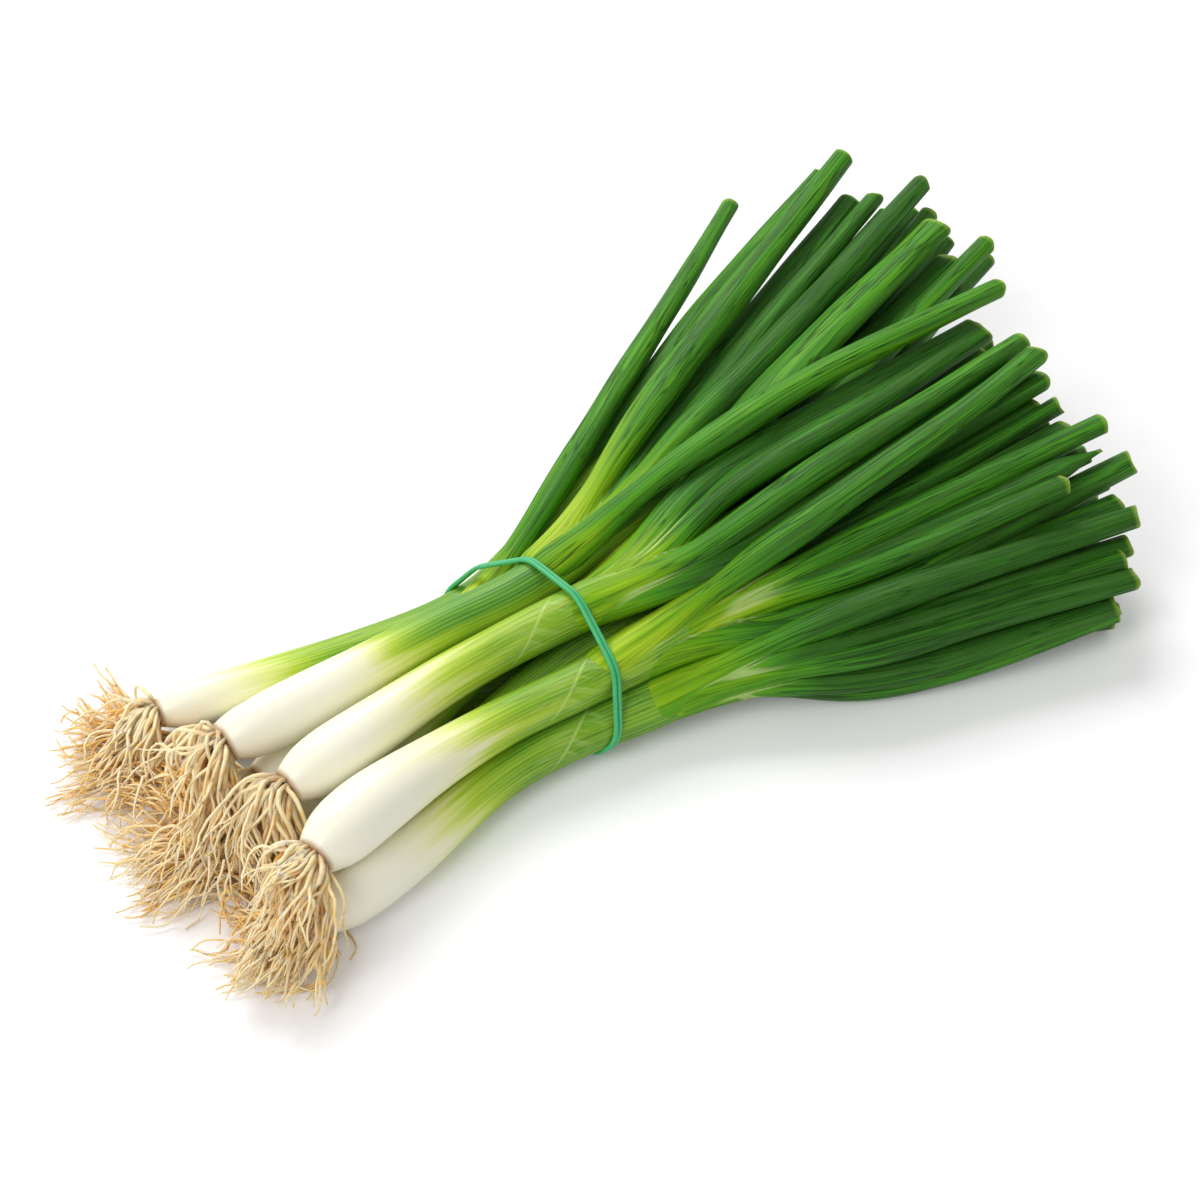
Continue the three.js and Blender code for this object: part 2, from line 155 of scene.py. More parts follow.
def shaft_radius(n, places):
    """The radius of an onion's shaft as it really is, fuller than its solid."""
    thicker = THICKER.get(n, 0) * ramp((places - THICKER_FROM) / THICKER_OVER)
    return radius_on(stems[n], places) + SHAFT_FILL * ramp(places / FILLED_OVER) + thicker


def points_on(strand, places):
    return spline(strand["at"], strand["middles"], places)


def radius_on(strand, places):
    places = np.clip(places, strand["at"][0], strand["at"][-1])
    return spline(strand["at"], strand["radii"], places)[:, 0]


def section_frames(middles, roll=0.0):
    """For each station, unit vectors across and over the strand, turned about it by roll."""
    along = np.gradient(middles, axis=0)
    along /= np.linalg.norm(along, axis=1)[:, None]
    over = np.array([0, 0, 1.0]) - along * along[:, 2:3]
    over /= np.linalg.norm(over, axis=1)[:, None]
    across = np.cross(along, over)
    roll = np.broadcast_to(roll, len(middles))[:, None]
    turned = across * np.cos(roll) + over * np.sin(roll)
    return along, turned, np.cross(turned, along)


def new_growth(name, inputs):
    """A tree of nodes with its inputs, given as names and kinds, and their sockets inside it."""
    tree = bpy.data.node_groups.new(name, "GeometryNodeTree")
    for socket, kind in inputs.items():
        tree.interface.new_socket(socket, in_out="INPUT", socket_type="NodeSocket" + kind)
    tree.interface.new_socket("Surface", in_out="OUTPUT", socket_type="NodeSocketGeometry")
    return tree, add_node(tree, "NodeGroupInput").outputs


def end_growth(tree, surface, material):
    """Ends a tree with its surface as one smooth, real mesh of one material."""
    smooth = add_node(tree, "GeometryNodeSetShadeSmooth", {"Geometry": surface})
    real = add_node(tree, "GeometryNodeRealizeInstances", {"Geometry": smooth})
    painted = add_node(tree, "GeometryNodeSetMaterial", {"Geometry": real, "Material": material})
    add_node(tree, "NodeGroupOutput", {"Surface": painted})
    return tree


def skin_tree():
    """Sweeps a ring of points along a row of stations. Each station carries its middle, the half
    widths of its section as two vectors, so a section can be round, flat or aslant, and a crease."""
    tree, given = new_growth("grown skin", {
        "Stations": "Geometry", "Sides": "Int", "Crease sharpness": "Float", "Pattern radius": "Float",
        "Skin": "Material"})
    index = add_node(tree, "GeometryNodeInputIndex")
    share = add_node(tree, "ShaderNodeMath", {0: index, 1: given["Sides"]}, operation="DIVIDE")
    turn = add_node(tree, "ShaderNodeMath", {0: share, 1: 2 * math.pi}, operation="MULTIPLY")
    circle = add_node(tree, "GeometryNodeCurvePrimitiveCircle", {"Resolution": given["Sides"], "Radius": MM})
    ring = add_node(tree, "GeometryNodeStoreNamedAttribute",
                    {"Geometry": circle, "Name": "turn", "Value": turn})
    rail = add_node(tree, "GeometryNodeMeshToCurve", {"Mesh": given["Stations"]})
    swept = add_node(tree, "GeometryNodeCurveToMesh", {"Curve": rail, "Profile Curve": ring})

    carried = {}
    for kind, names in (("FLOAT", ("turn", "crease", "crease_at", "distance")),
                        ("FLOAT_VECTOR", ("middle", "across", "over"))):
        for name in names:
            carried[name] = add_node(tree, "GeometryNodeInputNamedAttribute", {"Name": name}, data_type=kind)
    cosine, sine = (add_node(tree, "ShaderNodeMath", {0: carried["turn"]}, operation=wave)
                    for wave in ("COSINE", "SINE"))
    sideways, upwards = (add_node(tree, "ShaderNodeVectorMath", {"Vector": carried[name], "Scale": share},
                                  operation="SCALE") for name, share in (("across", cosine), ("over", sine)))
    out = add_node(tree, "ShaderNodeVectorMath", {0: sideways, 1: upwards}, operation="ADD")
    from_crease = add_node(tree, "ShaderNodeMath", {0: carried["turn"], 1: carried["crease_at"]},
                           operation="SUBTRACT")
    facing = add_node(tree, "ShaderNodeMath", {0: from_crease}, operation="COSINE")
    in_front = add_node(tree, "ShaderNodeMath", {0: facing, 1: 0.0}, operation="MAXIMUM")
    pinched = add_node(tree, "ShaderNodeMath", {0: in_front, 1: given["Crease sharpness"]}, operation="POWER")
    depth = add_node(tree, "ShaderNodeMath", {0: pinched, 1: carried["crease"]}, operation="MULTIPLY")
    kept = add_node(tree, "ShaderNodeMath", {0: 1.0, 1: depth}, operation="SUBTRACT")
    creased = add_node(tree, "ShaderNodeVectorMath", {"Vector": out, "Scale": kept}, operation="SCALE")
    place = add_node(tree, "ShaderNodeVectorMath", {0: carried["middle"], 1: creased}, operation="ADD")
    grown = add_node(tree, "GeometryNodeSetPosition", {"Geometry": swept, "Position": place})
    # The pattern's own place: round the strand at one radius, and along it, so it has no seam.
    east, north = (add_node(tree, "ShaderNodeMath", {0: wave, 1: given["Pattern radius"]},
                            operation="MULTIPLY") for wave in (cosine, sine))
    grain = add_node(tree, "ShaderNodeCombineXYZ", {"X": east, "Y": north, "Z": carried["distance"]})
    lined = add_node(tree, "GeometryNodeStoreNamedAttribute",
                     {"Geometry": grown, "Name": "grain", "Value": grain}, data_type="FLOAT_VECTOR")
    closed = add_node(tree, "GeometryNodeMergeByDistance", {"Geometry": lined, "Distance": 1e-6})
    outward = add_node(tree, "GeometryNodeFlipFaces", {"Mesh": closed})  # the sweep's faces point inwards
    return end_growth(tree, outward, given["Skin"])


def grow(name, body_slot, replaced, tree, points, edges, carried, **inputs):
    """Runs a tree of nodes on a mesh of points and edges, and keeps the result as a plain mesh."""
    start = bpy.data.meshes.new(name)
    start.from_pydata([tuple(p) for p in points], edges, [])
    for key, values in carried.items():
        values = np.asarray(values, float)
        kind = "FLOAT_VECTOR" if values.ndim == 2 else "FLOAT"
        field = "vector" if values.ndim == 2 else "value"
        start.attributes.new(key, kind, "POINT").data.foreach_set(field, values.ravel())
    piece = bpy.data.objects.new(name, start)
    bpy.context.scene.collection.objects.link(piece)
    growth = piece.modifiers.new("growth", "NODES")
    growth.node_group = tree
    named = {item.name: item.identifier for item in tree.interface.items_tree}
    for key, value in inputs.items():
        growth[named[key.replace("_", " ")]] = value
    mesh = bpy.data.meshes.new_from_object(piece.evaluated_get(bpy.context.evaluated_depsgraph_get()))
    piece.modifiers.remove(growth)
    piece.data = mesh
    mesh.name = name
    bpy.data.meshes.remove(start)
    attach(piece, "root")
    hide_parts(replaced)
    return piece


def grow_skin(name, body_slot, replaced, stations, sides, skin):
    """Grows one closed skin from its stations."""
    count = len(stations["middle"])
    filled = {"crease": np.zeros(count), "crease_at": np.zeros(count)}
    filled.update((key, values) for key, values in stations.items() if np.ndim(values))
    rail = [(i * MM, 0, 0) for i in range(count)]  # only its order counts: the tree puts it in place
    edges = [(i, i + 1) for i in range(count - 1)]
    return grow(name, body_slot, replaced, skin_growth, rail, edges, filled, Sides=sides,
                Crease_sharpness=CREASE_SHARPNESS, Pattern_radius=PATTERN_RADIUS, Skin=skin)


CREASE_SHARPNESS = 24.0
PATTERN_RADIUS = 6 * MM
skin_growth = skin_tree()

# From white skin, through the yellow-green of a shaft, to the green of a blade.
SKIN_COLOURS = [
    (0.00, "#fbf8e4"), (0.12, "#f6f4cc"), (0.24, "#dfe788"), (0.36, "#b4d030"), (0.50, "#8cb716"),
    (0.62, "#6ea60e"), (0.76, "#539a1a"), (0.88, "#3f861c"), (1.00, "#2a6016"),
]
PALE_SKIN = "#d3e58c"
PAPERY_SKIN = "#d0e396"
DARK_LINE = "#143a0c"
# the grey-green of the wax bloom, which also stands in for a painted sheen
WAX_BLOOM_AND_SHEEN = "#74aa4c"
CUT_EDGE = "#a9c552"
CORK = "#a67b42"
RIB_SPACING = 1.0 * MM  # the veins that run along a leaf base
FOLD_VEINS = 1.2 * MM  # the spacing of the veins that bend into a fold
FOLD_SLOPE = 1.3  # how far a fold's ridge runs back along the shaft for each length down its side
# Streaks that are drawn out along the strand, by width and length.
STREAKS = {"fine": (1 * MM, 45 * MM), "broad": (4.5 * MM, 70 * MM), "dark": (0.75 * MM, 38 * MM),
           "wandering": (2.6 * MM, 60 * MM)}


def new_material(name):
    """A material and its empty tree of nodes."""
    material = bpy.data.materials.new(name)
    material.use_nodes = True
    material.node_tree.nodes.clear()
    return material, material.node_tree


def set_stops(colours, stops):
    """Gives a colour ramp its stops, as places and sRGB colours."""
    elements = colours.color_ramp.elements
    while len(elements) < len(stops):
        elements.new(0.5)
    for element, (place, colour) in zip(elements, stops):
        element.position = place
        element.color = linear(colour)


def onion_skin(name, roughness, shine, ribs, bloom_and_sheen):
    """Onion skin, moist and smooth, with veins along it. Its colour follows the attribute age, from
    the white bulb at 0, through the yellow-green shaft at 1, to the green blade at 2. On a blade, a
    grey-green haze in long streaks is partly its wax bloom and partly a painted sheen."""
    material, tree = new_material(name)
    grain = add_node(tree, "ShaderNodeAttribute", attribute_name="grain").outputs["Vector"]
    given = {}
    for key in ("age", "tone", "cork", "edge", "apart", "opening", "fold", "fold_along", "fold_down"):
        given[key] = add_node(tree, "ShaderNodeAttribute", attribute_name=key).outputs["Fac"]
    streaks = {}
    for key, (width, length) in STREAKS.items():
        drawn = add_node(tree, "ShaderNodeMapping", {"Vector": grain, "Scale": (1, 1, width / length)})
        streaks[key] = add_node(tree, "ShaderNodeTexNoise",
                                {"Vector": drawn, "Scale": 1 / width, "Detail": 2.0, "Roughness": 0.6})
    # The white of a bulb is even, so the veins grow with age up to the shaft.
    veins = add_node(tree, "ShaderNodeMapRange", {"Value": given["age"], "From Max": 0.6, "To Min": 0.15})
    broad, fine = (add_node(tree, "ShaderNodeMapRange",
                            {"Value": streaks[key], "From Min": 0.3, "From Max": 0.7, "To Min": -most,
                             "To Max": most}, clamp=False) for key, most in (("broad", 0.26), ("fine", 0.14)))
    shift = add_node(tree, "ShaderNodeMath", {0: broad, 1: fine}, operation="ADD")
    shift = add_node(tree, "ShaderNodeMath", {0: shift, 1: veins, 2: given["tone"]}, operation="MULTIPLY_ADD")
    aged = add_node(tree, "ShaderNodeMath", {0: given["age"], 1: shift}, operation="ADD")
    halved = add_node(tree, "ShaderNodeMath", {0: aged, 1: 0.5}, operation="MULTIPLY")
    colours = add_node(tree, "ShaderNodeValToRGB", {"Fac": halved})
    set_stops(colours, SKIN_COLOURS)
    # Ribs: lighter lines at an even spacing round the strand, none inside a fold.
    split = add_node(tree, "ShaderNodeSeparateXYZ", {"Vector": grain})
    angle = add_node(tree, "ShaderNodeMath", {0: split.outputs["Y"], 1: split.outputs["X"]},
                     operation="ARCTAN2")
    count = float(round(2 * math.pi * PATTERN_RADIUS / RIB_SPACING))
    wander = add_node(tree, "ShaderNodeMath", {0: streaks["broad"], 1: 3.0}, operation="MULTIPLY")
    phase = add_node(tree, "ShaderNodeMath", {0: angle, 1: count, 2: wander}, operation="MULTIPLY_ADD")
    rib = add_node(tree, "ShaderNodeMath", {0: phase}, operation="SINE")
    unfolded = add_node(tree, "ShaderNodeMath", {0: 1.0, 1: given["fold"]}, operation="SUBTRACT")
    rib = add_node(tree, "ShaderNodeMath", {0: rib, 1: unfolded}, operation="MULTIPLY")
    lighter = add_node(tree, "ShaderNodeMapRange", {"Value": rib, "From Min": -0.2, "To Max": ribs})
    # Dark lines along a blade: soft ones, and thin ones where the wandering streaks cross their middle.
    green = add_node(tree, "ShaderNodeMapRange", {"Value": given["age"], "From Min": 0.6, "From Max": 1.7})
    soft = add_node(tree, "ShaderNodeMapRange",
                    {"Value": streaks["dark"], "From Min": 0.5, "From Max": 0.62, "To Max": 0.5})
    from_middle = add_node(tree, "ShaderNodeMath", {0: streaks["wandering"], 1: 0.47}, operation="SUBTRACT")
    from_middle = add_node(tree, "ShaderNodeMath", {0: from_middle}, operation="ABSOLUTE")
    thin = add_node(tree, "ShaderNodeMapRange", {"Value": from_middle, "From Min": 0.006, "From Max": 0.034,
                                                 "To Min": 0.85, "To Max": 0.0})
    dark = add_node(tree, "ShaderNodeMath", {0: soft, 1: thin}, operation="MAXIMUM")
    dark = add_node(tree, "ShaderNodeMath", {0: dark, 1: green}, operation="MULTIPLY")
    # Wax bloom and painted sheen: a grey-green haze drawn out along the blade.
    blade = add_node(tree, "ShaderNodeMapRange", {"Value": given["age"], "From Min": 1.4, "From Max": 2.0})
    bloom_and_sheen_haze = add_node(tree, "ShaderNodeMapRange",
                    {"Value": streaks["broad"], "From Min": 0.45, "From Max": 0.7, "To Max": bloom_and_sheen})
    # A fold in the sheath: a pale ridge that runs aslant, and veins that bend down past it.
    ridge = add_node(tree, "ShaderNodeMath", {0: given["fold_down"], 1: FOLD_SLOPE, 2: given["fold_along"]},
                     operation="MULTIPLY_ADD")
    beside = add_node(tree, "ShaderNodeMath", {0: ridge}, operation="ABSOLUTE")
    bent = add_node(tree, "ShaderNodeMath", {0: given["fold_down"], 1: 1.5}, operation="MULTIPLY")
    bent = add_node(tree, "ShaderNodeMath", {0: ridge, 1: -0.3, 2: bent}, operation="MULTIPLY_ADD")
    bent = add_node(tree, "ShaderNodeMath", {0: beside, 1: -0.25, 2: bent}, operation="MULTIPLY_ADD")
    along_veins = add_node(tree, "ShaderNodeMath", {0: ridge, 1: 1 / 14}, operation="MULTIPLY")
    bent = add_node(tree, "ShaderNodeCombineXYZ", {"X": bent, "Z": along_veins})
    bent = add_node(tree, "ShaderNodeTexNoise", {"Vector": bent, "Scale": 1 / FOLD_VEINS, "Detail": 1.0})
    bent = add_node(tree, "ShaderNodeMapRange",
                    {"Value": bent, "From Min": 0.42, "From Max": 0.72, "To Max": 0.28})
    crest = add_node(tree, "ShaderNodeMapRange", {"Value": beside, "From Min": 0.1 * MM, "From Max": 1.1 * MM,
                                                  "To Min": 0.5, "To Max": 0.0})
    pale = add_node(tree, "ShaderNodeMath", {0: bent, 1: crest}, operation="MAXIMUM")
    # The thin margin of a leaf base, where it comes out of another, is a pale, papery film.
    apart = add_node(tree, "ShaderNodeMath", {0: given["apart"]}, operation="ABSOLUTE")
    film = add_node(tree, "ShaderNodeMapRange", {"Value": apart, "From Min": 0.1 * MM, "From Max": 0.3 * MM,
                                                 "To Min": 0.5, "To Max": 0.0})
    # Each colour lies over those before it, by the share of its mark and only within its stretch.
    skin = colours
    for shown, within, colour in (
            (lighter, veins, PALE_SKIN), (dark, 1.0, DARK_LINE), (bloom_and_sheen_haze, blade, WAX_BLOOM_AND_SHEEN),
            (pale, given["fold"], PALE_SKIN), (film, given["opening"], PAPERY_SKIN),
            (given["edge"], 1.0, CUT_EDGE), (given["cork"], 1.0, CORK)):
        share = add_node(tree, "ShaderNodeMath", {0: shown, 1: within}, operation="MULTIPLY")
        skin = add_node(tree, "ShaderNodeMix", {"Factor": share, "A": skin, "B": linear(colour)},
                        data_type="RGBA")
    relief = add_node(tree, "ShaderNodeMath", {0: rib, 1: ribs, 2: streaks["fine"]}, operation="MULTIPLY_ADD")
    relief = add_node(tree, "ShaderNodeMath", {0: relief, 1: dark}, operation="SUBTRACT")
    relief = add_node(tree, "ShaderNodeMath", {0: relief, 1: veins}, operation="MULTIPLY")
    bump = add_node(tree, "ShaderNodeBump", {"Height": relief, "Strength": 0.5, "Distance": 0.12 * MM})
    # The white skin is wet and clear, and the green above it is drier.
    dry = add_node(tree, "ShaderNodeMapRange", {"Value": given["age"], "From Min": 0.05, "From Max": 0.5,
                                                "To Min": roughness, "To Max": max(roughness, 0.5)})
    shader = add_node(tree, "ShaderNodeBsdfPrincipled",
                      {"Base Color": skin, "Roughness": dry, "Specular IOR Level": shine,
                       "Subsurface Weight": 0.12, "Subsurface Radius": (1.0, 1.0, 0.5),
                       "Subsurface Scale": 1.5 * MM, "Normal": bump})
    add_node(tree, "ShaderNodeOutputMaterial", {"Surface": shader})
    return material


def corners_of(piece):
    corners = np.empty(3 * len(piece.data.vertices))
    piece.data.vertices.foreach_get("co", corners)
    return corners.reshape(-1, 3)


def read(piece, name):
    """The values of an attribute at a piece's corners."""
    values = np.empty(len(piece.data.vertices))
    piece.data.attributes[name].data.foreach_get("value", values)
    return values


def mark(piece, name, values):
    """Writes one value for each corner of a piece, for its material to read."""
    if name not in piece.data.attributes:
        piece.data.attributes.new(name, "FLOAT", "POINT")
    piece.data.attributes[name].data.foreach_set("value", np.asarray(values, float))


def above_tube(points, middles, radii):
    """How far each point is outside a tube, and the nearest place on the tube's centreline."""
    away = np.linalg.norm(points[:, None] - middles[None], axis=2)
    nearest = away.argmin(1)
    return away[np.arange(len(points)), nearest] - radii[nearest], nearest


def add_fold(piece, middle, places, radius, at, turned, length):
    """Marks the fold where one leaf base wraps over another, high on the shaft's side: each corner's
    distance along the shaft from its point, and round the shaft down from it."""
    corners = corners_of(piece)
    nearest = above_tube(corners, middle, radius)[1]
    _, across, over = section_frames(middle)
    away = corners - middle[nearest]
    round_from_top = np.arctan2((away * across[nearest]).sum(1), (away * over[nearest]).sum(1))
    down = (round_from_top - math.radians(turned)) * radius[nearest]
    along = places[nearest] - at
    from_ridge = np.abs(along + FOLD_SLOPE * down)
    in_height = ramp((down + 2 * MM) / (4 * MM)) * ramp((length - down) / (8 * MM))
    in_length = ramp((length - from_ridge) / (14 * MM)) * ramp((4 * MM - along) / (4 * MM))
    mark(piece, "fold_down", down)
    mark(piece, "fold_along", along)
    mark(piece, "fold", in_height * in_length)


bulb_skin = onion_skin("moist onion skin", roughness=0.28, shine=0.38, ribs=0.22, bloom_and_sheen=0.0)
random = np.random.default_rng(7)
shafts = {}
stems = {n: strand_of(f"onion_{n}_stem") for n in ONIONS}
# The root plate and the closed end of a shaft: shares of their depth, and of the radius beside them.
PLATE_SHAPE = [(-1.0, 0.0), (-0.98, 0.45), (-0.8, 0.68), (-0.45, 0.82), (-0.1, 0.92)]
END_SHAPE = [(0.0, 1.0), (0.15, 0.97), (0.3, 0.92), (0.5, 0.8), (0.7, 0.62), (0.85, 0.42), (0.96, 0.2),
             (1.0, 0.0)]

for n, stem in stems.items():
    length = stem["at"][-1]
    body = np.arange(0, length, STATION)
    plate_places, plate_radii = np.array(PLATE_SHAPE).T
    end_places, end_radii = np.array(END_SHAPE).T
    places = np.concatenate([plate_places * PLATE_DEPTH, body, length + SHAFT_END * end_places])
    middle = points_on(stem, places)
    radius = shaft_radius(n, places)
    radius[:len(plate_radii)] = radius_on(stem, 0)[0] * plate_radii
    radius[-len(end_radii):] = radius[-len(end_radii) - 1] * end_radii
    _, across, over = section_frames(middle, random.uniform(0, math.pi))
    oval = 1 + random.uniform(0.0, 0.015)
    swell = 1 + 0.012 * np.sin(places / (17 * MM) + random.uniform(0, 6))
    white, green = (distance * MM for distance in GREENING[n])
    greened = np.clip((places - white) / (green - white), 0, 1) ** 1.3
    stations = {
        "middle": middle,
        "across": across * (radius * oval * swell)[:, None],
        "over": over * (radius / oval * swell)[:, None],
        "distance": places + n,
        "age": greened + 0.2 * ramp((places - green) / (40 * MM)),
        "tone": np.full(len(places), 0.12 if n == 1 else 0.0) * ramp((places - white) / (30 * MM)),
        "cork": 1 - ramp((places + 0.2 * MM) / (0.9 * MM)),
    }
    piece = grow_skin(f"onion_{n}_bulb_and_shaft", "stem", f"onion_{n}_stem", stations, STEM_SIDES, bulb_skin)
    shafts[n] = (middle, radius)
    if n == GREEN_TOP:
        corners = corners_of(piece)
        nearest = above_tube(corners, middle, radius)[1]
        _, across, over = section_frames(middle)
        upper = ((corners - middle[nearest]) * (over - 0.3 * across)[nearest]).sum(1)
        upper /= radius[nearest].clip(MM)
        past = ramp((places[nearest] - GREEN_TOP_FROM) / GREEN_TOP_OVER)
        mark(piece, "tone", 0.55 * ramp(upper / 0.7) * past)
    if n in FOLDS:
        add_fold(piece, middle, places, radius, *FOLDS[n])

# ---- The leaves ----
# Each leaf is a sheath round the ones inside it, which opens on one side just past the band and goes
# on as a hollow tube with a thin wall, dark green and ribbed, with a grey bloom of wax. That grey haze
# is painted and also stands in for a sheen. All are cut straight across near one length.
LEAF_SIDES = 36
LEAF_STATION = 0.9 * MM  # spacing of the sections where a leaf parts from its shaft
BLADE_STATION = 2 * MM  # and further on
LEAF_WALL = 0.55 * MM
LEAF_FILL = 0.2 * MM  # how much fuller a real blade is than its solid
SHEATH_BACK = 26 * MM  # how far before the leaf's solid its sheath is drawn
SHEATH_POINT = 20 * MM  # the length over which a sheath widens from a point inside its shaft
PARTING = 54 * MM  # the length over which the sheath becomes the blade
USUAL_BEND = 72  # the length, in mm, over which a leaf bends from its shaft's direction to its own
BEND_PASSES = 0.07  # passes of smoothing: this times the square of that length in mm
NEST = 0.2 * MM  # how much wider each sheath is than the one inside it
MOUTH = 30 * MM  # how far the inside of a cut leaf is drawn
RIM_SLIVER = 0.12 * MM  # the length over which a cut rim turns inwards
SHAFT_AGE = 1.15  # the age that a shaft has reached where its leaves part
TAPER = 0.22  # how much narrower a blade is at its cut end
TAPER_OVER = 90 * MM
LOW = 17 * MM  # the height under which the rest press a leaf flat and wide
MARGIN_SHIFT = 0.1 * MM  # how far its papery margin lies outside the skin that a leaf comes out of

# How leaves differ from the rest. flat: height as a share of width. roll: degrees that the flat side
# is turned by. crease and crease_at: depth as a share, and degrees round. start: the age at its base.
# youth: how far from its base, in mm, it is full green. tone: darker above 0, lighter below. wide:
# width as a share of its solid's. bend: as USUAL_BEND.
LEAF_LOOKS = {
    (8, 1): {"flat": 0.8, "roll": 30, "start": 1.0, "youth": 34, "tone": -0.3, "bend": 140},
    (6, 2): {"flat": 0.85, "roll": 20, "start": 1.0, "youth": 68, "tone": -0.25, "bend": 130},
    (6, 1): {"flat": 0.8, "roll": 30, "crease": 0.2, "crease_at": 110, "start": 1.6, "youth": 18,
             "tone": -0.36},
    (6, 3): {"flat": 0.85, "roll": 20, "start": 1.0, "youth": 70, "tone": 0.0},
    (5, 1): {"flat": 0.62, "roll": 30, "youth": 50, "tone": -0.35, "wide": 1.3},
    (4, 1): {"flat": 0.8, "roll": 40, "youth": 34, "tone": -0.2},
    (4, 2): {"flat": 0.66, "roll": 35, "youth": 25, "tone": -0.05, "wide": 1.12},
    (2, 1): {"flat": 0.78, "roll": 35, "crease": 0.14, "crease_at": 120, "youth": 54, "tone": -0.2},
    (2, 2): {"flat": 0.88, "roll": 30, "youth": 36, "tone": -0.18},
    (2, 3): {"flat": 0.86, "roll": 30, "youth": 50, "tone": -0.1},
    (2, 4): {"flat": 0.9, "roll": 30, "youth": 48, "tone": -0.22, "wide": 1.25},
    (1, 1): {"flat": 0.82, "roll": 35, "youth": 56, "tone": 0.1, "wide": 1.1},
    (1, 2): {"flat": 0.8, "roll": 35, "youth": 50, "tone": 0.14, "wide": 1.08},
    (1, 3): {"flat": 0.8, "roll": 35, "youth": 46, "tone": 0.14, "wide": 1.05},
    (1, 5): {"flat": 0.7, "tone": 0.1, "wide": 1.5},
    (3, 2): {"flat": 0.75, "wide": 1.3},
    (4, 4): {"flat": 0.66, "tone": -0.05, "wide": 1.5},
    (7, 1): {"flat": 0.7, "wide": 1.5},
    (7, 3): {"flat": 0.7, "wide": 1.45},
}

# Leaves that lie hidden under two others and close the gap between them. Each belongs to the first
# leaf's onion: the second leaf, how much lower it lies, and the length of its torn point, in mm.
UNDER_LEAVES = {
    (3, 1): ((4, 4), 3, 0), (6, 2): ((8, 2), 6, 0), (4, 2): ((6, 1), 5, 0), (1, 2): ((1, 1), 3, 0),
    (4, 1): ((2, 1), 5, 0), (2, 4): ((1, 1), 4, 0), (5, 1): ((5, 2), 7, 0), (2, 3): ((2, 2), 2, 18),
    (1, 4): ((1, 2), 2, 0), (6, 3): ((8, 2), 6, 0), (2, 2): ((3, 1), 4, 0),
}


def strand_under(first, second, lower, reach):
    """The strand of a leaf that lies midway under two others, and reaches a share of their length."""
    shares = np.linspace(0, reach, 40)
    middles = sum(points_on(leaf, shares * leaf["at"][-1]) for leaf in (first, second)) / 2
    middles[:, 2] -= lower * ramp(shares / 0.5)
    radius = 0.5 * (first["radii"].max() + second["radii"].max())
    middles[:, 2] = middles[:, 2].clip(radius + 0.5 * MM)
    steps = np.linalg.norm(np.diff(middles, axis=0), axis=1)
    return {"at": np.concatenate([[0], np.cumsum(steps)]), "middles": middles, "radii": np.full(40, radius)}


